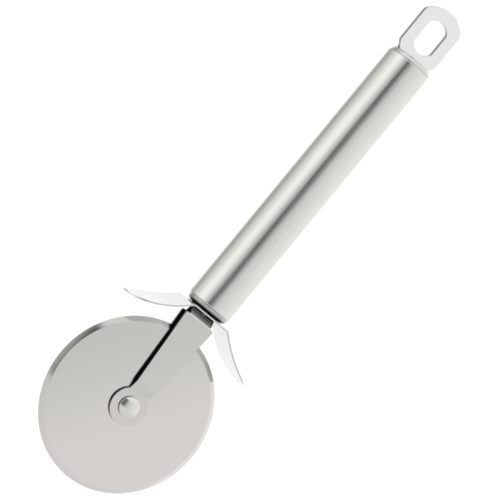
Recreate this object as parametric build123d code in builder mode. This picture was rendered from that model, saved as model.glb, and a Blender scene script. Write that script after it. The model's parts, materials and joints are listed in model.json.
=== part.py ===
from build123d import *
from math import asin, degrees, radians, sin, tan
import os

os.makedirs("parts", exist_ok=True)

# A stainless steel cutting wheel in a bent fork, on a tubular handle with a finger guard and a
# hanging loop, lying flat. Millimetres. +X runs along the handle from the wheel to the loop and
# +Z is the wheel's axle. The origin is under the middle of the overall length, on the surface
# that the tube rests on. Every "_x" value is a distance along the handle from the wheel's centre,
# and every height is measured from the wheel's mid-plane.

# ---- Driving dimensions -----------------------------------------------------------------------

# Cutting wheel
wheel_radius = 33.5
wheel_thickness = 1.24
bevel_width = 1.8
edge_land = 0.08
back_bevel = 0.12

# Hub
bush_radius = 3.5
running_clearance = 0.05
side_clearance = 0.05
friction_washer_radius = 6.4
friction_washer_thickness = 0.15

# Axle rivet and its socket
rivet_shank_radius = 1.3
socket_radius = 2.2
rivet_head_radius = 4.0
rivet_rim_height = 0.7
rivet_shoulder_radius = 3.8
rivet_shoulder_height = 0.9
rivet_head_height = 2.0

# Fork, one bent strip whose arms spread a little towards the wheel
fork_sheet = 0.9
fork_shoulder_depth = 4.9
fork_mouth_depth = 5.8
boss_radius = 7.3
neck_half_width = 4.45
neck_x = 8.0
neck_flare = 0.075
arm_half_width = 6.7
arm_flare = 0.075
arm_full_x = 39.0
arm_corner_radius = 0.7
shoulder_x = 40.1
bridge_half_width = 5.1
fork_top_x = 43.2
bridge_slope = 32.0
crease_radius = 2.0
bridge_bend_radius = 1.0
joggle_start_x = 6.4
joggle_end_x = 9.4
joggle_bend_radius = 2.0

# Finger guard, one bent strip
guard_sheet = 0.6
guard_flat_half = 7.6
guard_fold_radius = 2.2
guard_fold_angle = 42.0
guard_wing_radius = 49.0
guard_wing_unbend = 28.0
guard_root_half_depth = 8.3
guard_wing_half_depth = 8.9
guard_widening_from = 8.0
guard_widening_to = 15.0
guard_tip_y = 30.0

# Tube and its caps
tube_radius = 9.0
tube_wall = 0.8
tube_start_x = 46.35
tube_end_x = 160.35
tube_end_round = 0.5
cap_gap = 0.25
cap_edge_radius = 8.7
cap_skirt_length = 6.0
cap_skirt_wall = 0.8
cap_floor = 1.2
cap_edge_round = 0.2
front_cap_face_x = 44.0
front_cap_knuckle = (44.85, 8.2)
front_cap_face_radius = 7.0
rear_cap_face_x = 162.2
rear_cap_knuckle = (161.75, 8.1)
rear_cap_face_radius = 7.5
spacer_radius = 6.2

# Hanging loop
loop_tip_x = 184.0
loop_half_width = 9.0
loop_thickness = 2.0
loop_end_radius = 11.2
loop_corner_radius = 2.5
loop_shoulder_x = 165.0
loop_shoulder_radius = 1.6
loop_edge_round = 0.12
tang_half_width = 4.5
tang_length = 6.0
slot_half_width = 4.55
slot_end_radius = 5.3
slot_base_x = 165.2
slot_far_x = 179.0
slot_corner_radius = 1.4

# Tie bolt, lock washer and nut that hold the fork, guard and cap together
tie_radius = 1.5
tie_hole_radius = 1.6
tie_head_half_length = 3.6
tie_head_start_x = 39.9
tie_head_half_depth = 1.3
tie_head_top_x = 41.6
tie_end_x = 51.4
lock_washer_radius = 2.8
lock_washer_thickness = 0.7
lock_washer_gap = 0.6
nut_across_flats = 5.5
nut_height = 2.4

# ---- Derived places ---------------------------------------------------------------------------

wheel_x = wheel_radius - (wheel_radius + loop_tip_x) / 2
axis_height = tube_radius
wheel_half = wheel_thickness / 2
bore_radius = bush_radius + running_clearance
hub_half = wheel_half + side_clearance + friction_washer_thickness
boss_face = hub_half + fork_sheet
boss_mid = hub_half + fork_sheet / 2
shoulder_mid = (fork_shoulder_depth - fork_sheet) / 2
mouth_mid = (fork_mouth_depth - fork_sheet) / 2
bridge_mid_x = fork_top_x - fork_sheet / 2
slope = radians(bridge_slope)
crease_x = shoulder_x + crease_radius * tan(slope / 2)
bridge_corner = shoulder_mid - (bridge_mid_x - crease_x) * tan(slope)
guard_mid_x = fork_top_x + guard_sheet / 2
guard_front_x = fork_top_x + guard_sheet
tube_inner_radius = tube_radius - tube_wall
front_floor_x = tube_start_x + cap_floor
rear_floor_x = tube_end_x - cap_floor
nut_x = front_floor_x + lock_washer_thickness

wheel_centre = (wheel_x, 0, axis_height)
handle_axis = Axis(wheel_centre, (1, 0, 0))
axle = Axis(wheel_centre, (0, 0, 1))

# Side view: x along the handle from the wheel's centre, y up from the wheel's mid-plane.
side_plane = Plane(origin=wheel_centre, x_dir=(1, 0, 0), z_dir=(0, -1, 0))
# The same view from the other side, with y down, for what is mirrored to the back.
back_side_plane = Plane(origin=wheel_centre, x_dir=(1, 0, 0), z_dir=(0, 1, 0))
# Plan view: x along the handle from the wheel's centre, y across it.
plan_plane = Plane(origin=wheel_centre, x_dir=(1, 0, 0), z_dir=(0, 0, 1))


def cross_plane(distance):
    """The plane across the handle at a distance from the wheel's centre, facing the loop."""
    return Plane(origin=(wheel_x + distance, 0, axis_height), x_dir=(0, 1, 0), z_dir=(1, 0, 0))


# ---- Cutting wheel: ground from the front down to an edge near its back face --------------------

with BuildPart() as cutting_wheel:
    with BuildSketch(side_plane):
        with BuildLine():
            Polyline(
                (bore_radius, -wheel_half),
                (wheel_radius - back_bevel, -wheel_half),
                (wheel_radius, back_bevel / 2 - wheel_half),
                (wheel_radius, back_bevel / 2 + edge_land - wheel_half),
                (wheel_radius - bevel_width, wheel_half),
                (bore_radius, wheel_half),
                close=True,
            )
        make_face()
    revolve(axis=axle)

cutting_wheel.part.label = "cutting_wheel"
export_step(cutting_wheel.part, "parts/cutting_wheel.step")

# ---- Hub: a bush clamped between the fork's bosses, and a thin washer on each side of the wheel --

with BuildPart() as hub_bush:
    with BuildSketch(plan_plane.offset(-hub_half)):
        Circle(bush_radius)
        Circle(socket_radius, mode=Mode.SUBTRACT)
    extrude(amount=2 * hub_half)

hub_bush.part.label = "hub_bush"
export_step(hub_bush.part, "parts/hub_bush.step")


def friction_washer(low_height):
    """A thin ring around the bush, resting on the inside of one boss."""
    with BuildPart() as ring:
        with BuildSketch(plan_plane.offset(low_height)):
            Circle(friction_washer_radius)
            Circle(bore_radius, mode=Mode.SUBTRACT)
        extrude(amount=friction_washer_thickness)
    return ring


friction_washer_front = friction_washer(hub_half - friction_washer_thickness)
friction_washer_front.part.label = "friction_washer_front"
export_step(friction_washer_front.part, "parts/friction_washer_front.step")

friction_washer_rear = friction_washer(-hub_half)
friction_washer_rear.part.label = "friction_washer_rear"
export_step(friction_washer_rear.part, "parts/friction_washer_rear.step")

# ---- Axle rivet: a domed head on a solid shank, pressed into a headed socket --------------------


def headed_pin(plane, inner_radius, outer_radius):
    """A domed head on one boss, with a shank or a barrel that reaches through to the other."""
    crown_rise = rivet_head_height - rivet_shoulder_height
    crown_radius = (rivet_shoulder_radius**2 + crown_rise**2) / (2 * crown_rise)
    with BuildPart() as pin:
        with BuildSketch(plane):
            with BuildLine():
                rim = Line(
                    (rivet_head_radius, boss_face),
                    (rivet_head_radius, boss_face + rivet_rim_height),
                )
                shoulder = (rivet_shoulder_radius, boss_face + rivet_shoulder_height)
                side = TangentArc(rim @ 1, shoulder, tangent=rim % 1)
                crown = RadiusArc(side @ 1, (0, boss_face + rivet_head_height), -crown_radius)
                Polyline(crown @ 1, (0, boss_face), rim @ 0)
            make_face()
            with Locations((inner_radius, -boss_face)):
                Rectangle(outer_radius - inner_radius, 2 * boss_face, align=(Align.MIN, Align.MIN))
        revolve(axis=axle)
    return pin


axle_rivet = headed_pin(side_plane, 0, rivet_shank_radius)
axle_rivet.part.label = "axle_rivet"
export_step(axle_rivet.part, "parts/axle_rivet.step")

rivet_socket = headed_pin(back_side_plane, rivet_shank_radius, socket_radius)
rivet_socket.part.label = "rivet_socket"
export_step(rivet_socket.part, "parts/rivet_socket.step")

# ---- Fork: one strip bent into a U, its ends joggled in to form the bosses ----------------------

with BuildPart() as fork:
    # The bent strip, seen from the side and wide enough for the whole plan
    with BuildSketch(side_plane):
        with BuildLine():
            FilletPolyline(
                (-boss_radius - fork_sheet, boss_mid),
                (joggle_start_x, boss_mid),
                (joggle_end_x, mouth_mid),
                (crease_x, shoulder_mid),
                (bridge_mid_x, bridge_corner),
                (bridge_mid_x, 0),
                radius=(joggle_bend_radius, joggle_bend_radius, crease_radius, bridge_bend_radius),
            )
            mirror(about=Plane.XZ)
        trace(line_width=fork_sheet)
    extrude(amount=boss_radius + fork_sheet, both=True)

    # Cut to its plan: round bosses, tapered arms and a narrower bridge
    with BuildSketch(plan_plane):
        with BuildLine():
            neck = Line((0, neck_half_width), (neck_x, neck_half_width))
            flare = Spline(
                neck @ 1,
                (arm_full_x, arm_half_width),
                tangents=((1, neck_flare), (1, arm_flare)),
            )
            Polyline(
                flare @ 1,
                (shoulder_x, arm_half_width),
                (shoulder_x, bridge_half_width),
                (fork_top_x + fork_sheet, bridge_half_width),
                (fork_top_x + fork_sheet, 0),
            )
            mirror(about=Plane.XZ)
            Line(neck @ 0, (0, -neck_half_width))
        arms = make_face()
        sides = arms.vertices().group_by(Axis.Y)
        fillet(ShapeList(side.sort_by(Axis.X)[-1] for side in (sides[0], sides[-1])), arm_corner_radius)
        Circle(boss_radius)
    extrude(amount=fork_mouth_depth, both=True, mode=Mode.INTERSECT)

    # Holes for the axle and for the tie bolt
    with BuildSketch(plan_plane):
        Circle(socket_radius)
    extrude(amount=fork_mouth_depth, both=True, mode=Mode.SUBTRACT)
    with BuildSketch(cross_plane(shoulder_x)):
        Circle(tie_hole_radius)
    extrude(amount=fork_mouth_depth, mode=Mode.SUBTRACT)

fork.part.label = "fork"
export_step(fork.part, "parts/fork.step")

# ---- Finger guard: a strip across the handle, its two wings swept back towards the wheel --------

with BuildPart() as finger_guard:
    # The bent strip, seen in plan
    with BuildSketch(plan_plane):
        with BuildLine():
            flat = Line((guard_mid_x, 0), (guard_mid_x, guard_flat_half))
            fold = JernArc(flat @ 1, flat % 1, guard_fold_radius, guard_fold_angle)
            JernArc(fold @ 1, fold % 1, guard_wing_radius, -guard_wing_unbend)
            mirror(about=Plane.XZ)
        trace(line_width=guard_sheet)
    extrude(amount=tube_radius, both=True)

    # Cut to its outline, seen along the handle: wider in the wings, with round tips
    with BuildSketch(cross_plane(0)):
        with BuildLine():
            tip_centre_y = guard_tip_y - guard_wing_half_depth
            Polyline(
                (0, guard_root_half_depth),
                (guard_widening_from, guard_root_half_depth),
                (guard_widening_to, guard_wing_half_depth),
                (tip_centre_y, guard_wing_half_depth),
            )
            CenterArc((tip_centre_y, 0), guard_wing_half_depth, 0, 90)
            mirror(about=Plane.XZ)
            mirror(about=Plane.YZ)
        make_face()
    extrude(amount=guard_front_x + guard_sheet, mode=Mode.INTERSECT)

    with BuildSketch(cross_plane(fork_top_x)):
        Circle(tie_hole_radius)
    extrude(amount=guard_sheet, mode=Mode.SUBTRACT)

finger_guard.part.label = "finger_guard"
export_step(finger_guard.part, "parts/finger_guard.step")

# ---- Handle: spacer, front cap, tube and rear cap -----------------------------------------------

with BuildPart() as guard_spacer:
    with BuildSketch(cross_plane(guard_front_x)):
        Circle(spacer_radius)
        Circle(tie_hole_radius, mode=Mode.SUBTRACT)
    extrude(amount=front_cap_face_x - guard_front_x)

guard_spacer.part.label = "guard_spacer"
export_step(guard_spacer.part, "parts/guard_spacer.step")


def cap_section(face_x, face_radius, knuckle, flange_x, floor_x, skirt_x, hole_radius):
    """The corners of half a cap's section: a tapered flange near the tube's end, and a skirt."""
    skirt_inner_radius = tube_inner_radius - cap_skirt_wall
    return (
        (face_x, hole_radius),
        (face_x, face_radius),
        knuckle,
        (flange_x, cap_edge_radius),
        (flange_x, tube_inner_radius),
        (skirt_x, tube_inner_radius),
        (skirt_x, skirt_inner_radius),
        (floor_x, skirt_inner_radius),
        (floor_x, hole_radius),
    )


with BuildPart() as front_cap:
    with BuildSketch(side_plane):
        skirt_x = tube_start_x + cap_skirt_length
        corners = cap_section(
            front_cap_face_x,
            front_cap_face_radius,
            front_cap_knuckle,
            tube_start_x - cap_gap,
            front_floor_x,
            skirt_x,
            tie_hole_radius,
        )
        with BuildLine():
            Polyline(*corners, close=True)
        section = make_face()
        for corner in corners[1:4]:
            fillet(section.vertices().sort_by_distance(corner)[:1], cap_edge_round)
    revolve(axis=handle_axis)

front_cap.part.label = "front_cap"
export_step(front_cap.part, "parts/front_cap.step")

with BuildPart() as handle_tube:
    with BuildSketch(cross_plane(tube_start_x)):
        Circle(tube_radius)
        Circle(tube_inner_radius, mode=Mode.SUBTRACT)
    extrude(amount=tube_end_x - tube_start_x)
    fillet(handle_tube.edges().filter_by(GeomType.CIRCLE).sort_by(SortBy.RADIUS)[-2:], tube_end_round)

handle_tube.part.label = "handle_tube"
export_step(handle_tube.part, "parts/handle_tube.step")

with BuildPart() as rear_cap:
    with BuildSketch(side_plane):
        skirt_x = tube_end_x - cap_skirt_length
        corners = cap_section(
            rear_cap_face_x,
            rear_cap_face_radius,
            rear_cap_knuckle,
            tube_end_x + cap_gap,
            rear_floor_x,
            skirt_x,
            0,
        )
        with BuildLine():
            Polyline(*corners, close=True)
        section = make_face()
        for corner in corners[1:4]:
            fillet(section.vertices().sort_by_distance(corner)[:1], cap_edge_round)
    revolve(axis=handle_axis)
    with BuildSketch(cross_plane(rear_floor_x)):
        Rectangle(2 * tang_half_width, loop_thickness)
    extrude(amount=rear_cap_face_x - rear_floor_x, mode=Mode.SUBTRACT)

rear_cap.part.label = "rear_cap"
export_step(rear_cap.part, "parts/rear_cap.step")

# ---- Hanging loop: a flat plate with an oblong slot, and a tang held in the rear cap -------------

with BuildPart() as hanging_loop:
    end_centre_x = loop_tip_x - loop_end_radius
    with BuildSketch(plan_plane):
        with BuildLine():
            end_angle = degrees(asin(loop_half_width / loop_end_radius))
            end = CenterArc((end_centre_x, 0), loop_end_radius, 0, end_angle)
            Polyline(
                end @ 1,
                (loop_shoulder_x, loop_half_width),
                (rear_cap_face_x, rear_cap_face_radius - cap_edge_round),
                (rear_cap_face_x, tang_half_width),
                (rear_cap_face_x - tang_length, tang_half_width),
                (rear_cap_face_x - tang_length, 0),
            )
            mirror(about=Plane.XZ)
        plate = make_face()
        sides = plate.vertices().group_by(Axis.Y)
        shoulders = ShapeList(side.sort_by(Axis.X)[0] for side in (sides[0], sides[-1]))
        end_corners = ShapeList(side.sort_by(Axis.X)[-1] for side in (sides[0], sides[-1]))
        fillet(shoulders, loop_shoulder_radius)
        fillet(end_corners, loop_corner_radius)
    extrude(amount=loop_thickness / 2, both=True)

    # The slot: straight sides and flat-arched ends
    with BuildSketch(plan_plane):
        with BuildLine():
            slot_angle = degrees(asin(slot_half_width / slot_end_radius))
            base_centre_x = slot_base_x + slot_end_radius
            far_centre_x = slot_far_x - slot_end_radius
            far = CenterArc((far_centre_x, 0), slot_end_radius, -slot_angle, 2 * slot_angle)
            near = CenterArc((base_centre_x, 0), slot_end_radius, 180 - slot_angle, 2 * slot_angle)
            Line(far @ 1, near @ 0)
            Line(near @ 1, far @ 0)
        slot = make_face()
        fillet(slot.vertices(), slot_corner_radius)
    extrude(amount=loop_thickness, both=True, mode=Mode.SUBTRACT)

    # All the plate's edges are eased, but not the tang's
    plate_span = (wheel_x + rear_cap_face_x, wheel_x + loop_tip_x)
    plate_edges = hanging_loop.edges().filter_by_position(Axis.X, *plate_span).group_by(Axis.Z)
    fillet(plate_edges[0] + plate_edges[-1], loop_edge_round)

hanging_loop.part.label = "hanging_loop"
export_step(hanging_loop.part, "parts/hanging_loop.step")

# ---- Tie bolt, lock washer and nut --------------------------------------------------------------

with BuildPart() as tie_bolt:
    # A wedge-shaped cross head that nests in the fork's bend: its slopes lie on the strip's inside
    with BuildSketch(side_plane):
        slope_x = bridge_mid_x - fork_sheet / 2 / sin(slope)
        slope_start_x = slope_x + (bridge_corner - tie_head_half_depth) / tan(slope)
        top_half_depth = bridge_corner - (tie_head_top_x - slope_x) * tan(slope)
        with BuildLine():
            Polyline(
                (tie_head_start_x, 0),
                (tie_head_start_x, tie_head_half_depth),
                (slope_start_x, tie_head_half_depth),
                (tie_head_top_x, top_half_depth),
                (tie_head_top_x, 0),
            )
            mirror(about=Plane.XZ)
        make_face()
    extrude(amount=tie_head_half_length, both=True)
    with BuildSketch(cross_plane(shoulder_x)):
        Circle(tie_radius)
    extrude(amount=tie_end_x - shoulder_x)
    chamfer(tie_bolt.edges().group_by(Axis.X)[-1], tie_hole_radius - tie_radius)

tie_bolt.part.label = "tie_bolt"
export_step(tie_bolt.part, "parts/tie_bolt.step")

with BuildPart() as lock_washer:
    with BuildSketch(cross_plane(front_floor_x)):
        Circle(lock_washer_radius)
        Circle(tie_hole_radius, mode=Mode.SUBTRACT)
        Rectangle(lock_washer_radius, lock_washer_gap, align=(Align.MIN, Align.CENTER), mode=Mode.SUBTRACT)
    extrude(amount=lock_washer_thickness)

lock_washer.part.label = "lock_washer"
export_step(lock_washer.part, "parts/lock_washer.step")

with BuildPart() as tie_nut:
    with BuildSketch(cross_plane(nut_x)):
        RegularPolygon(radius=nut_across_flats / 2, side_count=6, major_radius=False)
        Circle(tie_radius, mode=Mode.SUBTRACT)
    extrude(amount=nut_height)

tie_nut.part.label = "tie_nut"
export_step(tie_nut.part, "parts/tie_nut.step")
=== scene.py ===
import json
import math

import bmesh
import bpy
from mathutils import Matrix, Vector
from mathutils.geometry import delaunay_2d_cdt


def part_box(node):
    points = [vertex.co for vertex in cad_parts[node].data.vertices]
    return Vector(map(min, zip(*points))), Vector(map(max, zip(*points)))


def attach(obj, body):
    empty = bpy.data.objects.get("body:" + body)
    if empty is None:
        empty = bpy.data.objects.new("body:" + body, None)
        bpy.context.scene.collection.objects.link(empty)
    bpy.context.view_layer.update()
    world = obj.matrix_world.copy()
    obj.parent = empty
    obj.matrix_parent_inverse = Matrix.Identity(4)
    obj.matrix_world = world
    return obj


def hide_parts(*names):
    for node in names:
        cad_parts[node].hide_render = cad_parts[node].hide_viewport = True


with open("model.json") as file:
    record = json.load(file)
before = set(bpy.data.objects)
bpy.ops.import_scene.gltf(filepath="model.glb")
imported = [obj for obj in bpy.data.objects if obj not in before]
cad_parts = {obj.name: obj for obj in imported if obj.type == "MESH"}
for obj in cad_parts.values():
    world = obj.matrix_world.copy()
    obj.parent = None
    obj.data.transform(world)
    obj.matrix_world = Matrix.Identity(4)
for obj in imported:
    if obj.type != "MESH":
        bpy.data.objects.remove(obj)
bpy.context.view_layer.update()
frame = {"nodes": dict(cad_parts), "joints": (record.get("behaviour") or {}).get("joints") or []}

# Lengths below are in millimetres unless a name says otherwise. "Along" is the distance from the
# wheel's centre towards the hanging loop, and heights are measured from the wheel's mid-plane.
MM = 0.001
wheel_centre = Vector(frame["joints"][0]["pos_m"])


def box_mm(node):
    """A CAD node's lowest and highest corners, measured from the wheel's centre."""
    low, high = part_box(node)
    return (Vector(low) - wheel_centre) / MM, (Vector(high) - wheel_centre) / MM


# ---- Camera: high above the tool, leaning to its left side, with a long lens ---------------------

def aim_camera():
    """Stands over the foot point on the handle's axis, leaning to +Y, and looks at the target.

    The picture is turned so that the handle runs up it to the right, at handle_slope.
    """
    distance = 1370
    tilt = math.radians(24.8)
    foot_along = 37.6
    target_along = 71.5
    target_across = 1.5
    handle_slope = math.radians(50.57)
    out = Vector((0, math.sin(tilt), math.cos(tilt)))
    across = Vector((0, math.cos(tilt), -math.sin(tilt)))
    place = Vector((foot_along, 0, 0)) + distance * out
    target = Vector((target_along, 0, 0)) + target_across * across
    back = (place - target).normalized()
    handle = Vector((1, 0, 0))
    handle = (handle - handle.dot(back) * back).normalized()
    side = back.cross(handle)
    right = math.cos(handle_slope) * handle - math.sin(handle_slope) * side
    up = math.sin(handle_slope) * handle + math.cos(handle_slope) * side
    data = bpy.data.cameras.new("camera")
    data.lens = 272.9
    data.sensor_width = 36
    data.clip_start = 0.05
    data.clip_end = 20
    turn = Matrix((right, up, back)).transposed().to_4x4()
    camera = bpy.data.objects.new("camera", data)
    camera.matrix_world = Matrix.Translation(wheel_centre + place * MM) @ turn
    bpy.context.scene.collection.objects.link(camera)
    bpy.context.scene.camera = camera


# ---- Node helpers --------------------------------------------------------------------------------

# A colour ramp's colours go no higher than 1, so it holds each level as a share of this one
RAMP_TOP = 2.0


class Nodes:
    """A short way to add shader nodes and join them."""

    def __init__(self, owner):
        owner.use_nodes = True
        self.tree = owner.node_tree

    def add(self, kind, *inputs, **settings):
        """Adds a node. Each input is a number or vector to set, a socket to link, or None to skip."""
        node = self.tree.nodes.new(kind)
        for key, value in settings.items():
            setattr(node, key, value)
        for place, value in enumerate(inputs):
            if value is not None:
                self.feed(node.inputs[place], value)
        return node

    def feed(self, socket, value):
        if isinstance(value, bpy.types.NodeSocket):
            self.tree.links.new(value, socket)
        else:
            socket.default_value = value

    def math(self, operation, *inputs):
        return self.add("ShaderNodeMath", *inputs, operation=operation).outputs[0]

    def vector(self, operation, *inputs):
        return self.add("ShaderNodeVectorMath", *inputs, operation=operation).outputs["Vector"]

    def measure(self, operation, *inputs):
        """A vector operation whose answer is one number."""
        return self.add("ShaderNodeVectorMath", *inputs, operation=operation).outputs["Value"]

    def scaled(self, vector, amount):
        node = self.add("ShaderNodeVectorMath", vector, operation="SCALE")
        self.feed(node.inputs["Scale"], amount)
        return node.outputs["Vector"]

    def noise(self, place, scale, detail, roughness):
        return self.add("ShaderNodeTexNoise", place, None, scale, detail, roughness).outputs[0]

    def remap(self, value, from_low, from_high, to_low, to_high, kind="LINEAR"):
        node = self.add(
            "ShaderNodeMapRange", value, from_low, from_high, to_low, to_high, interpolation_type=kind
        )
        return node.outputs[0]

    def rise(self, value, start, finish):
        """Goes smoothly from 0 to 1 as the value goes from start to finish."""
        return self.remap(value, start, finish, 0.0, 1.0, "SMOOTHSTEP")

    def ramp(self, value, origin, unit, stops):
        """A level, as a share of RAMP_TOP, that goes straight from each stop to the next.

        A stop is a place and a level. Places are counted from the origin, in the unit given.
        """
        first, last = stops[0][0], stops[-1][0]
        share = self.remap(value, origin + first * unit, origin + last * unit, 0.0, 1.0)
        ramp = self.add("ShaderNodeValToRGB", share)
        marks = ramp.color_ramp.elements
        marks.remove(marks[1])
        for number, (place, level) in enumerate(stops):
            position = (place - first) / (last - first)
            mark = marks[number] if number < len(marks) else marks.new(position)
            mark.position = position
            grey = level / RAMP_TOP
            mark.color = (grey, grey, grey, 1)
        return ramp.outputs["Color"]


# ---- Light: a white tent, with a dark slot along the handle where the camera looks in --------------

# Brightness round the handle, by the angle in degrees from straight up towards the tool's right side
TENT = [
    (-180, 1.05), (-168, 0.75), (-155, 0.50), (-143, 0.58), (-128, 0.80), (-112, 1.00), (-95, 1.25),
    (-82, 1.40), (-66, 1.25), (-55, 0.92), (-47, 0.74), (-41, 0.60), (-37, 0.18), (-25, 0.17),
    (-19, 0.33), (-12, 0.58), (-3, 0.82), (8, 0.93), (25, 1.00), (50, 1.08), (90, 1.18), (135, 1.15),
    (180, 1.05),
]


def light_tent():
    """Sets the world's brightness by direction: along the tool towards its loop, across it, and up."""
    world = bpy.data.worlds.new("light_tent")
    bpy.context.scene.world = world
    nodes = Nodes(world)
    direction = nodes.add("ShaderNodeTexCoord").outputs["Generated"]
    along, across, up = nodes.add("ShaderNodeSeparateXYZ", direction).outputs
    angle = nodes.math("ARCTAN2", nodes.math("MULTIPLY", across, -1.0), up)
    round_handle = nodes.ramp(angle, 0.0, math.radians(1), TENT)

    # The upper half closes at both ends with an even wall, a little brighter at the loop's end
    middle, wall_start, wall_full = 0.10, 0.34, 0.46
    dim_end, bright_end = 0.95, 1.12
    beyond = nodes.math("ABSOLUTE", nodes.math("SUBTRACT", along, middle))
    upper = nodes.rise(up, -0.1, 0.2)
    closed = nodes.math("MULTIPLY", nodes.rise(beyond, wall_start, wall_full), upper)
    wall = nodes.remap(along, -0.5, 0.5, dim_end / RAMP_TOP, bright_end / RAMP_TOP)
    opened = nodes.math("MULTIPLY", round_handle, nodes.math("SUBTRACT", 1.0, closed))
    level = nodes.math("ADD", opened, nodes.math("MULTIPLY", closed, wall))

    # Low down at the wheel's end it is open to a dark room
    darkness = 0.97
    away = nodes.math("MULTIPLY", along, -1.0)
    low = nodes.rise(nodes.math("SUBTRACT", away, up), 0.70, 0.95)
    far = nodes.rise(away, 0.55, 0.75)
    dark = nodes.math("MULTIPLY", nodes.math("MULTIPLY", low, far), darkness)
    level = nodes.math("MULTIPLY", level, nodes.math("SUBTRACT", 1.0, dark))

    background = nodes.tree.nodes["Background"]
    nodes.feed(background.inputs["Color"], level)
    background.inputs["Strength"].default_value = RAMP_TOP


def lay_floor():
    """A white table, lit mostly from itself so that shadows on it stay faint. Steel doesn't mirror it."""
    half = 1.5
    mesh = bpy.data.meshes.new("floor")
    corners = [(-half, -half, 0), (half, -half, 0), (half, half, 0), (-half, half, 0)]
    mesh.from_pydata(corners, [], [(0, 1, 2, 3)])
    floor = bpy.data.objects.new("floor", mesh)
    bpy.context.scene.collection.objects.link(floor)
    material = bpy.data.materials.new("lit_white_table")
    nodes = Nodes(material)
    shader = nodes.tree.nodes["Principled BSDF"]
    shader.inputs["Base Color"].default_value = (0.2, 0.2, 0.2, 1)
    shader.inputs["Roughness"].default_value = 0.9
    shader.inputs["Specular IOR Level"].default_value = 0.0
    shader.inputs["Emission Color"].default_value = (1, 1, 1, 1)
    shader.inputs["Emission Strength"].default_value = 0.93
    mesh.materials.append(material)
    floor.visible_glossy = False


# ---- Steel ---------------------------------------------------------------------------------------

# The way across the tool in which a cool steel turns warm and brighter, which paints light onto it
# towards the wheel's end and the tool's right side, and where that starts and ends, in millimetres from
# the wheel's centre
FADE_WAY = (-0.612, -0.791, 0.0)
FADE_START = -30.0
FADE_END = 15.0

# How many cloudy patches a steel has to the metre
CLOUDS = 90.0


def steel(name, colour, roughness, grain, depth, stretch=(1, 1, 1), about=None, mottle=0.03, spread=0.05):
    """Steel with fine lines. Their coordinates come from the object, so they turn with it.

    colour is one colour, or a cool and a warm one. grain is how fine the lines are, in lines to the
    metre, and depth is how deep, in millimetres. stretch draws the lines out along an axis where it is
    small, and about makes them circle an axis (0 for X, 2 for Z) through the wheel's centre instead.
    mottle and spread are how far the colour and the roughness vary.
    """
    material = bpy.data.materials.new(name)
    nodes = Nodes(material)
    shader = nodes.tree.nodes["Principled BSDF"]
    place = nodes.add("ShaderNodeTexCoord").outputs["Object"]
    if isinstance(colour[0], tuple):
        colour = fade(nodes, place, *colour)
    if about is not None:
        place = circle(nodes, place, about, grain)

    lines = nodes.noise(nodes.vector("MULTIPLY", place, stretch), grain, detail=3.0, roughness=0.6)
    clouds = nodes.noise(place, CLOUDS, detail=2.0, roughness=0.5)
    blend = nodes.math("ADD", nodes.math("MULTIPLY", lines, 0.7), nodes.math("MULTIPLY", clouds, 0.3))
    usual_low, usual_high = 0.3, 0.7
    tint = nodes.remap(blend, usual_low, usual_high, 1 - mottle, 1 + mottle)
    rough = nodes.remap(blend, usual_low, usual_high, roughness - spread, roughness + spread)
    bump = nodes.add("ShaderNodeBump")
    bump.inputs["Strength"].default_value = 1.0
    bump.inputs["Distance"].default_value = depth * MM
    nodes.feed(bump.inputs["Height"], lines)

    shader.inputs["Metallic"].default_value = 1.0
    nodes.feed(shader.inputs["Base Color"], nodes.scaled(colour, tint))
    nodes.feed(shader.inputs["Roughness"], rough)
    nodes.feed(shader.inputs["Normal"], bump.outputs[0])
    return material


def fade(nodes, place, cool, warm):
    """A colour that turns from cool to warm and brighter across the tool, which paints light onto one
    side.
    """
    centred = nodes.vector("SUBTRACT", place, tuple(wheel_centre))
    across = nodes.measure("DOT_PRODUCT", centred, FADE_WAY)
    part = nodes.rise(across, FADE_START * MM, FADE_END * MM)
    change = tuple(w - c for w, c in zip(warm, cool))
    return nodes.vector("ADD", nodes.scaled(change, part), cool)


def circle(nodes, place, axis, grain):
    """Coordinates that change fast from ring to ring about an axis, but only slowly round a ring."""
    lines_round = 1.5
    out = nodes.vector("SUBTRACT", place, tuple(wheel_centre))
    out = nodes.vector("MULTIPLY", out, tuple(0.0 if way == axis else 1.0 for way in range(3)))
    way_out = nodes.scaled(nodes.vector("NORMALIZE", out), lines_round / grain)
    rings = nodes.add("ShaderNodeCombineXYZ")
    nodes.feed(rings.inputs[axis], nodes.measure("LENGTH", out))
    return nodes.vector("ADD", way_out, rings.outputs[0])


def shade(nodes, level):
    """Multiplies a finished steel's colour, to paint light or shade into it."""
    colour = nodes.tree.nodes["Principled BSDF"].inputs["Base Color"]
    nodes.feed(colour, nodes.scaled(colour.links[0].from_socket, level))


def shade_by_facing(material, sideways, upward):
    """Paints shade into a steel: one level where it looks sideways, and another where it looks up or
    down.
    """
    nodes = Nodes(material)
    normal = nodes.add("ShaderNodeTexCoord").outputs["Normal"]
    facing = nodes.math("ABSOLUTE", nodes.add("ShaderNodeSeparateXYZ", normal).outputs[2])
    shade(nodes, nodes.remap(facing, 0.5, 0.8, sideways, upward))


def shade_along(material, stops):
    """Paints light and shade into a steel by the distance along the tool. A stop is a distance and a
    level.
    """
    nodes = Nodes(material)
    place = nodes.add("ShaderNodeTexCoord").outputs["Object"]
    along = nodes.add("ShaderNodeSeparateXYZ", place).outputs[0]
    share = nodes.ramp(along, wheel_centre.x, MM, stops)
    shade(nodes, nodes.math("MULTIPLY", share, RAMP_TOP))


# ---- Shape helpers -------------------------------------------------------------------------------

# The mesh layer that keeps the way a corner's flat face looks
FLAT = "flat_normal"


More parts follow.
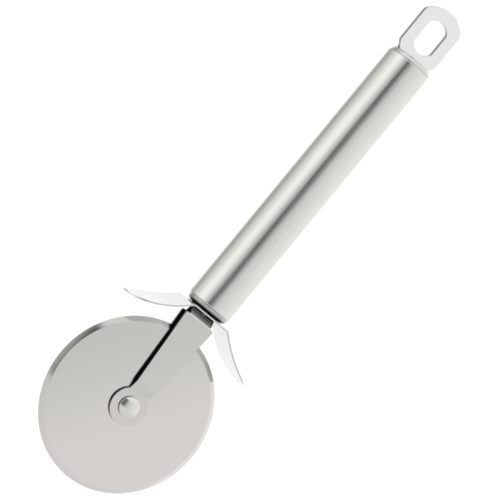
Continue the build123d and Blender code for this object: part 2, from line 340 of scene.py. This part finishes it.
def rounded(corners, radii, steps):
    """A closed outline with some of its corners rounded: radii maps a corner's number to a radius."""
    outline = []
    for number, corner in enumerate(corners):
        radius = radii.get(number, 0)
        corner = Vector(corner)
        if not radius:
            outline.append(corner)
            continue
        before = (Vector(corners[number - 1]) - corner).normalized()
        after = (Vector(corners[(number + 1) % len(corners)]) - corner).normalized()
        half_angle = before.angle(after) / 2
        centre = corner + (before + after).normalized() * radius / math.sin(half_angle)
        start = corner + before * radius / math.tan(half_angle) - centre
        finish = corner + after * radius / math.tan(half_angle) - centre
        for step in range(steps + 1):
            outline.append(centre + start.slerp(finish, step / steps).normalized() * radius)
    return outline


def arc(centre, radius, from_degrees, to_degrees, steps):
    """Points along an arc, both ends included."""
    points = []
    for step in range(steps + 1):
        angle = math.radians(from_degrees + (to_degrees - from_degrees) * step / steps)
        x = centre[0] + radius * math.cos(angle)
        y = centre[1] + radius * math.sin(angle)
        points.append(Vector((x, y)))
    return points


def round_hole(along, radius, corners=48):
    """A round hole's outline, clockwise."""
    return arc((along, 0), radius, 360 - 360 / corners, 0, corners - 1)


def four_quarters(quarter):
    """A closed outline, anticlockwise, from its quarter that runs from the x axis to the y axis."""
    outline = []
    for x_sign, y_sign, way in ((1, 1, 1), (-1, 1, -1), (-1, -1, 1), (1, -1, -1)):
        outline += [Vector((x_sign * point.x, y_sign * point.y)) for point in quarter[::way]][:-1]
    return outline


def add_piece(name, mesh, node, body, material):
    """Puts a mesh in the scene in place of a CAD node."""
    piece = bpy.data.objects.new(name, mesh)
    bpy.context.scene.collection.objects.link(piece)
    mesh.materials.append(material)
    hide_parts(node)
    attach(piece, body)
    return piece


def close_form(form):
    """Returns the smooth-shaded mesh. Corners that lie on a flat are shaded the way that it faces."""
    mesh = bpy.data.meshes.new("form")
    form.to_mesh(mesh)
    form.free()
    mesh.shade_smooth()
    flats = mesh.attributes.get(FLAT)
    if flats:
        ways = [Vector(flat.vector) for flat in flats.data]
        normals = [way if way.length > 0.5 else vert.normal for way, vert in zip(ways, mesh.vertices)]
        mesh.normals_split_custom_set_from_vertices(normals)
        mesh.attributes.remove(mesh.attributes[FLAT])
    return mesh


def turn_on_lathe(section, axis, steps=256):
    """Turns a closed section of (along, radius) points about the wheel's axle or the handle's axis."""
    form = bmesh.new()
    rings = []
    for step in range(steps):
        angle = 2 * math.pi * step / steps
        ring = []
        for along, radius in section:
            first = radius * math.cos(angle)
            second = radius * math.sin(angle)
            point = Vector((first, second, along)) if axis == "axle" else Vector((along, first, second))
            ring.append(form.verts.new(wheel_centre + point * MM))
        rings.append(ring)
    for step in range(steps):
        here, there = rings[step], rings[(step + 1) % steps]
        for place in range(len(section)):
            following = (place + 1) % len(section)
            form.faces.new((here[place], here[following], there[following], there[place]))
    bmesh.ops.remove_doubles(form, verts=form.verts, dist=1e-7)
    bmesh.ops.recalc_face_normals(form, faces=form.faces)
    return close_form(form)


def keep_flats_flat(piece):
    """Shades a turned piece by its larger faces, so that only its small roundings look round."""
    normals = piece.modifiers.new("flat_faces", "WEIGHTED_NORMAL")
    normals.weight = 80


def inset(outline, amount):
    """An outline moved to the left of the way it runs: inward, where it runs anticlockwise."""
    least_lean = 0.3
    moved = []
    for number, point in enumerate(outline):
        before = (point - outline[number - 1]).normalized()
        after = (outline[(number + 1) % len(outline)] - point).normalized()
        across = Vector((-before.y - after.y, before.x + after.x)).normalized()
        lean = max(least_lean, across.dot(Vector((-before.y, before.x))))
        moved.append(point + across * amount / lean)
    return moved


def cut_plate(outline, holes, thickness, edge_round, steps=4):
    """A flat plate with rounded edges.

    The outline runs anticlockwise. The holes are all convex and run clockwise.
    """
    form = bmesh.new()
    half = thickness / 2
    levels = []
    for step in range(steps + 1):
        angle = math.pi / 2 * step / steps
        levels.append((edge_round * (1 - math.sin(angle)), half - edge_round * (1 - math.cos(angle))))
    levels += [(amount, -height) for amount, height in reversed(levels)]
    top, bottom, edges, loop_of = [], [], [], []
    for number, loop in enumerate([outline] + holes):
        rows = []
        for amount, height in levels:
            rows.append([form.verts.new((point.x, point.y, height)) for point in inset(loop, amount)])
        for upper, lower in zip(rows, rows[1:]):
            for place in range(len(loop)):
                following = (place + 1) % len(loop)
                form.faces.new((upper[place], lower[place], lower[following], upper[following]))
        edges += [(len(top) + place, len(top) + (place + 1) % len(loop)) for place in range(len(loop))]
        top += rows[0]
        bottom += rows[-1]
        loop_of += [number] * len(loop)

    # The two faces, in triangles. Those with all their corners on one hole would fill it.
    flat = [vert.co.xy for vert in top]
    inside_edges = 1
    _, _, triangles, origins, _, _ = delaunay_2d_cdt(flat, edges, [], inside_edges, 1e-6)
    for triangle in triangles:
        corners = [origins[corner][0] for corner in triangle]
        loops = {loop_of[corner] for corner in corners}
        if loops == {0} or len(loops) > 1:
            form.faces.new([top[corner] for corner in corners])
            form.faces.new([bottom[corner] for corner in reversed(corners)])
    return form


def place_plate(form, thickness, place_of):
    """Moves a plate's corners to place_of(corner), which also gives the way its upper face looks."""
    flat = form.verts.layers.float_vector.new(FLAT)
    for vert in form.verts:
        height = vert.co.z
        place, way = place_of(vert.co)
        if abs(abs(height) - thickness / 2) < 1e-5:
            vert[flat] = way * math.copysign(1, height)
        vert.co = wheel_centre + place * MM
    return close_form(form)


class Path:
    """Half of a bent strip's middle line, from the strip's middle out, in a plane.

    It goes through the corners given, each rounded to its radius, and first heads along the
    plane's second axis. Its runs, straight or curved, are pairs of a length and a turn.
    """

    def __init__(self, corners, radii):
        corners = [Vector(corner) for corner in corners]
        legs = [after - before for before, after in zip(corners, corners[1:])]
        turns = [-before.angle_signed(after) for before, after in zip(legs, legs[1:])]
        cuts = [0] + [radius * abs(math.tan(turn / 2)) for radius, turn in zip(radii, turns)] + [0]
        self.begin = corners[0].x
        self.runs = []
        for place, leg in enumerate(legs):
            self.runs.append((leg.length - cuts[place] - cuts[place + 1], 0))
            if place < len(turns):
                self.runs.append((radii[place] * abs(turns[place]), turns[place]))
        self.length = sum(length for length, _ in self.runs)

    def bend(self, radius, turn):
        """Adds a curved run at the end."""
        self.runs.append((radius * abs(turn), turn))
        self.length += radius * abs(turn)

    def at(self, distance):
        """The point and the heading at a distance from the strip's middle."""
        x, y, heading = self.begin, 0.0, math.pi / 2
        for length, turn in self.runs:
            step = min(distance, length)
            bend = turn * step / length
            chord = step if abs(bend) < 1e-9 else 2 * step / bend * math.sin(bend / 2)
            x += chord * math.cos(heading + bend / 2)
            y += chord * math.sin(heading + bend / 2)
            heading += bend
            distance -= step
            if distance <= 0:
                break
        return x, y, heading

    def off(self, distance, out):
        """The point at a height off the strip's middle line, and the way its outside looks."""
        x, y, heading = self.at(abs(distance))
        side = math.copysign(1, distance)
        way = Vector((math.sin(heading), -math.cos(heading) * side))
        return Vector((x, y * side)) + way * out, way

    def distance_where(self, test):
        """The distance at which the test, which takes a point, turns from true to false."""
        low, high = 0.0, self.length
        for _ in range(40):
            middle = (low + high) / 2
            if test(self.at(middle)):
                low = middle
            else:
                high = middle
        return low

    def slice(self, form, degrees_apart):
        """Cuts a flat plate across wherever it has to bend."""
        cuts = []
        begin = 0
        for length, turn in self.runs:
            pieces = max(1, round(abs(math.degrees(turn)) / degrees_apart))
            cuts += [begin + length * (piece + 1) / pieces for piece in range(pieces)]
            begin += length
        for cut in [0] + cuts[:-1] + [-cut for cut in cuts[:-1]]:
            everything = form.verts[:] + form.edges[:] + form.faces[:]
            place = (cut, 0, 0)
            bmesh.ops.bisect_plane(form, geom=everything, dist=1e-5, plane_co=place, plane_no=(1, 0, 0))


# ---- Cutting wheel: ground from the front down to an edge near its back face -----------------------

def make_wheel(material):
    low, high = box_mm("cutting_wheel")
    radius = -low.x
    half = high.z
    bore = 3.55
    bevel, bevel_round = 1.8, 0.2
    edge_front, edge_back, back_bevel = 0.14, 0.06, 0.12
    corners = [
        (half, bore), (half, radius - bevel), (edge_front - half, radius), (edge_back - half, radius),
        (-half, radius - back_bevel), (-half, bore),
    ]
    section = rounded(corners, {1: bevel_round}, 4)
    mesh = turn_on_lathe(section, "axle", steps=360)
    keep_flats_flat(add_piece("blade_wheel", mesh, "cutting_wheel", "wheel", material))


# ---- Rivet: two domed heads ------------------------------------------------------------------------

def make_rivet_half(name, node, inner, outer, side, material):
    """A head on one face of the fork, with the shank or barrel that reaches to the other face."""
    seat = 1.72
    radius = 4.0
    rim = seat + 0.75
    rim_round, shoulder_round = 0.1, 0.12
    shoulder = Vector((3.78, seat + 0.9))
    top = seat + 2.0
    rise = top - shoulder.y
    crown = (shoulder.x**2 + rise**2) / (2 * rise)
    spread = math.degrees(math.asin(shoulder.x / crown))
    dome = arc((0, top - crown), crown, 90 - math.degrees(math.asin(inner / crown)), 90 - spread, 16)
    corners = [dome[-2], shoulder, (radius, rim), (radius, seat)]
    wall = rounded(corners, {1: shoulder_round, 2: rim_round}, 4)
    foot = [(outer, seat), (outer, -seat), (inner, -seat)]
    section = [(height * side, across) for across, height in dome[:-1] + wall[1:] + foot]
    mesh = turn_on_lathe(section, "axle", steps=96)
    keep_flats_flat(add_piece(name, mesh, node, "handle", material))


# ---- Fork: one strip bent round at its bridge, and joggled in at its ends to form the bosses --------

# The radius of the holes in the fork and the guard that the tie bolt goes through
BOLT_HOLE = 1.6


def make_fork(material):
    low, high = box_mm("fork")
    sheet = 0.9
    boss = -low.x
    mouth_height, arm_height, boss_height = 2.45, 2.0, 1.27
    joggle_start, joggle_end, joggle_radius = 6.4, 9.4, 2.0
    shoulder = 40.1
    crease_radius, bridge_radius = 2.0, 1.0
    bridge_slope = math.radians(32)
    axle_hole, edge_round = 2.2, 0.07

    begin = high.x - sheet / 2
    crease = shoulder + crease_radius * math.tan(bridge_slope / 2)
    corner_height = arm_height - (begin - crease) * math.tan(bridge_slope)
    corners = [
        (begin, 0), (begin, corner_height), (crease, arm_height), (joggle_end, mouth_height),
        (joggle_start, boss_height), (-boss - sheet, boss_height),
    ]
    path = Path(corners, [bridge_radius, crease_radius, joggle_radius, joggle_radius])

    # A quarter of the plan, from the tip of a boss to the middle of the bridge
    neck_half, neck_end = 4.45, 8.0
    arm_half, arm_end = 6.7, 39.0
    end_slope = 0.075
    bridge_half = 5.1
    shoulder_round, inner_round = 0.7, 0.15
    meet = math.degrees(math.asin(neck_half / boss))
    quarter = arc((0, 0), boss, 180, meet, 60)
    reach = arm_end - neck_end
    steps = 24
    for step in range(steps + 1):
        part = step / steps
        grow = (arm_half - neck_half) * part**2 * (3 - 2 * part)
        lean = end_slope * part * (1 - part) * (1 - 2 * part)
        quarter.append(Vector((neck_end + reach * part, neck_half + grow + lean * reach)))
    corners = [(arm_end, arm_half), (shoulder, arm_half), (shoulder, bridge_half), (begin, bridge_half)]
    quarter += rounded(corners, {1: shoulder_round, 2: inner_round}, 5)[1:-1]
    unrolled = []
    for point in quarter:
        distance = path.distance_where(lambda place, along=point.x: place[0] > along)
        unrolled.append(Vector((distance, point.y)))
    unrolled.append(Vector((0, bridge_half)))
    unrolled[0].y = 0
    axle = path.distance_where(lambda place: place[0] > 0)
    holes = [round_hole(axle, axle_hole), round_hole(-axle, axle_hole), round_hole(0, BOLT_HOLE)]
    form = cut_plate(four_quarters(unrolled), holes, sheet, edge_round)
    path.slice(form, degrees_apart=4)

    def place_of(corner):
        place, way = path.off(corner.x, corner.z)
        return Vector((place.x, -corner.y, place.y)), Vector((way.x, 0, way.y))

    mesh = place_plate(form, sheet, place_of)
    add_piece("bent_fork", mesh, "fork", "handle", material)


# ---- Finger guard: a strip across the handle, its wings swept back and then opening out -------------

def make_guard(material):
    low, high = box_mm("finger_guard")
    sheet, edge_round = 0.6, 0.1
    fold_start, fold_radius, fold = 7.6, 2.2, math.radians(42)
    wing_radius, unbend = 49.0, math.radians(28)
    front = high.x - sheet / 2
    path = Path([(front, 0), (front, fold_start)], [])
    path.bend(fold_radius, fold)
    path.bend(wing_radius, -unbend)

    # A quarter of the outline, seen along the handle, from a wing's tip to the middle of the strip
    root_half, wing_half = 8.3, high.z
    widen_from, widen_to = 8.0, 15.0
    tip = high.y - sheet / 2 * math.sin(fold - unbend)
    quarter = arc((tip - wing_half, 0), wing_half, 0, 90, 40)
    steps = 8
    for step in range(steps + 1):
        part = 1 - step / steps
        height = root_half + (wing_half - root_half) * part**2 * (3 - 2 * part)
        quarter.append(Vector((widen_from + (widen_to - widen_from) * part, height)))
    quarter.append(Vector((0, root_half)))
    unrolled = []
    for point in quarter:
        distance = path.distance_where(lambda place, across=point.x: place[1] < across)
        unrolled.append(Vector((distance, point.y)))
    form = cut_plate(four_quarters(unrolled), [round_hole(0, BOLT_HOLE)], sheet, edge_round)
    path.slice(form, degrees_apart=2)

    def place_of(corner):
        place, way = path.off(corner.x, corner.z)
        return Vector((place.x, place.y, corner.y)), Vector((way.x, way.y, 0))

    mesh = place_plate(form, sheet, place_of)
    add_piece("curled_guard", mesh, "finger_guard", "handle", material)


# ---- Tube, caps and hanging loop --------------------------------------------------------------------

def make_tube(material):
    low, high = box_mm("handle_tube")
    radius = -low.z
    wall, edge_round = 0.8, 0.5
    corners = [(low.x, radius), (high.x, radius), (high.x, radius - wall), (low.x, radius - wall)]
    section = rounded(corners, {0: edge_round, 1: edge_round}, 6)
    mesh = turn_on_lathe(section, "handle")
    keep_flats_flat(add_piece("brushed_tube", mesh, "handle_tube", "handle", material))


def make_loop(material):
    low, high = box_mm("hanging_loop")
    width = high.y
    face = box_mm("rear_cap")[1].x
    end_radius, corner_radius = 11.2, 2.5
    shoulder, shoulder_radius = 165.0, 1.6
    root, tang = 7.3, 4.5
    edge_round = 0.12

    # The outline from the end's middle round to the tang's middle: where a corner's arc meets the
    # end's arc, both lie on one line with the end's centre
    centre = high.x - end_radius
    corner = Vector((0, width - corner_radius))
    corner.x = centre + math.sqrt((end_radius - corner_radius) ** 2 - corner.y**2)
    turn = math.degrees(math.asin(corner.y / (end_radius - corner_radius)))
    half = arc((centre, 0), end_radius, 0, turn, 24)[:-1] + arc(corner, corner_radius, turn, 90, 12)
    straight = [
        (corner.x, width), (shoulder, width), (face, root), (face, tang), (low.x, tang), (low.x, 0),
    ]
    half += rounded(straight, {1: shoulder_radius}, 8)[1:-1]
    outline = half + [Vector((point.x, -point.y)) for point in reversed(half[1:])]

    slot_half, slot_radius, slot_corner = 4.55, 5.3, 1.4
    slot_base, slot_far = 165.2, 179.0
    middle = (slot_base + slot_far) / 2
    inner = Vector((0, slot_half - slot_corner))
    inner.x = slot_far - middle - slot_radius + math.sqrt((slot_radius - slot_corner) ** 2 - inner.y**2)
    turn = math.degrees(math.asin(inner.y / (slot_radius - slot_corner)))
    quarter = arc((slot_far - middle - slot_radius, 0), slot_radius, 0, turn, 16)[:-1]
    quarter += arc(inner, slot_corner, turn, 90, 8) + [Vector((0, slot_half))]
    slot = [Vector((point.x + middle, point.y)) for point in reversed(four_quarters(quarter))]
    thickness = high.z - low.z
    form = cut_plate(outline, [slot], thickness, edge_round)
    mesh = place_plate(form, thickness, lambda corner: (corner.copy(), Vector((0, 0, 1))))
    add_piece("hanging_plate", mesh, "hanging_loop", "handle", material)


# ---- Finishes, with painted light and shade --------------------------------------------------------

# The wheel and the fork turn from a cool grey to a warm, brighter one across the tool: painted light
COOL = (0.535, 0.541, 0.512)

blade_steel = steel(
    "ground_blade_steel", (COOL, (0.655, 0.628, 0.608)), roughness=0.1, grain=4000, depth=0.001,
    about=2, mottle=0.02, spread=0.03,
)

# Painted shade makes the strip's edges dark, and its bridge too, beyond a painted highlight along the
# crease
CREASE_HIGHLIGHT_AND_SHADE = [(39.8, 1.0), (40.0, 1.25), (40.3, 1.25), (40.5, 0.45), (41.3, 0.4), (41.6, 0.2), (43.2, 0.15)]
strip_steel = steel(
    "pressed_strip_steel", (COOL, (0.610, 0.584, 0.564)), roughness=0.12, grain=3000, depth=0.001,
    stretch=(0.06, 1, 1), mottle=0.02, spread=0.03,
)
shade_by_facing(strip_steel, sideways=0.13, upward=1.0)
shade_along(strip_steel, CREASE_HIGHLIGHT_AND_SHADE)

# Painted shade darkens the heads round their rims
rivet_steel = steel(
    "polished_rivet_steel", (0.64, 0.64, 0.63), roughness=0.12, grain=5000, depth=0.001,
    about=2, mottle=0.02, spread=0.03,
)
shade_by_facing(rivet_steel, sideways=0.06, upward=1.0)

# The guard stands on edge, so its cut edges are what looks up; painted shade makes them darker
guard_steel = steel(
    "guard_sheet_steel", (0.78, 0.78, 0.79), roughness=0.2, grain=3000, depth=0.002, stretch=(1, 0.06, 1)
)
shade_by_facing(guard_steel, sideways=1.0, upward=0.7)

# Painted shade makes the front cap dark in its recess, and it brightens over its flange. The rear cap is
# past the stops.
RECESS_SHADE = [(43.8, 0.1), (44.9, 0.12), (45.2, 0.55), (46.0, 0.8), (46.6, 1.0)]
cap_steel = steel(
    "turned_cap_steel", (0.60, 0.60, 0.58), roughness=0.2, grain=4000, depth=0.003, about=0
)
shade_along(cap_steel, RECESS_SHADE)

# Brushed along the handle, and more coarsely than the rest
tube_steel = steel(
    "brushed_tube_steel", (0.652, 0.648, 0.62), roughness=0.21, grain=1700, depth=0.01,
    stretch=(0.02, 1, 1), mottle=0.07,
)

# Painted shade makes it a little darker on its edges
plate_steel = steel(
    "loop_plate_steel", (0.79, 0.79, 0.78), roughness=0.18, grain=3000, depth=0.002, stretch=(0.06, 1, 1)
)
shade_by_facing(plate_steel, sideways=0.62, upward=1.0)

# Painted shade: steel made near black, so that the guard spacer in its gap under the front cap looks
# shadowed. The tie bolt, its nut and washer and the hub bush share it.
shadow_dark_machined_steel = steel("shadow_dark_machined_steel", (0.12, 0.115, 0.11), roughness=0.32, grain=3000, depth=0.003)

# The nodes that are shown as the CAD made them
NODE_STEEL = {
    "hub_bush": shadow_dark_machined_steel, "friction_washer_front": strip_steel, "friction_washer_rear": strip_steel,
    "guard_spacer": shadow_dark_machined_steel, "front_cap": cap_steel, "rear_cap": cap_steel,
    "tie_bolt": shadow_dark_machined_steel, "lock_washer": shadow_dark_machined_steel, "tie_nut": shadow_dark_machined_steel,
}
for node, material in NODE_STEEL.items():
    mesh = frame["nodes"][node].data
    mesh.materials.clear()
    mesh.materials.append(material)


# ---- The scene -------------------------------------------------------------------------------------

aim_camera()
bpy.context.scene.view_settings.view_transform = "Standard"
light_tent()
lay_floor()

make_wheel(blade_steel)
shank_radius, barrel_radius = 1.3, 2.2
make_rivet_half("front_rivet_head", "axle_rivet", 0.0, shank_radius, 1, rivet_steel)
make_rivet_half("rear_rivet_head", "rivet_socket", shank_radius, barrel_radius, -1, rivet_steel)
make_fork(strip_steel)
make_guard(guard_steel)
make_tube(tube_steel)
make_loop(plate_steel)
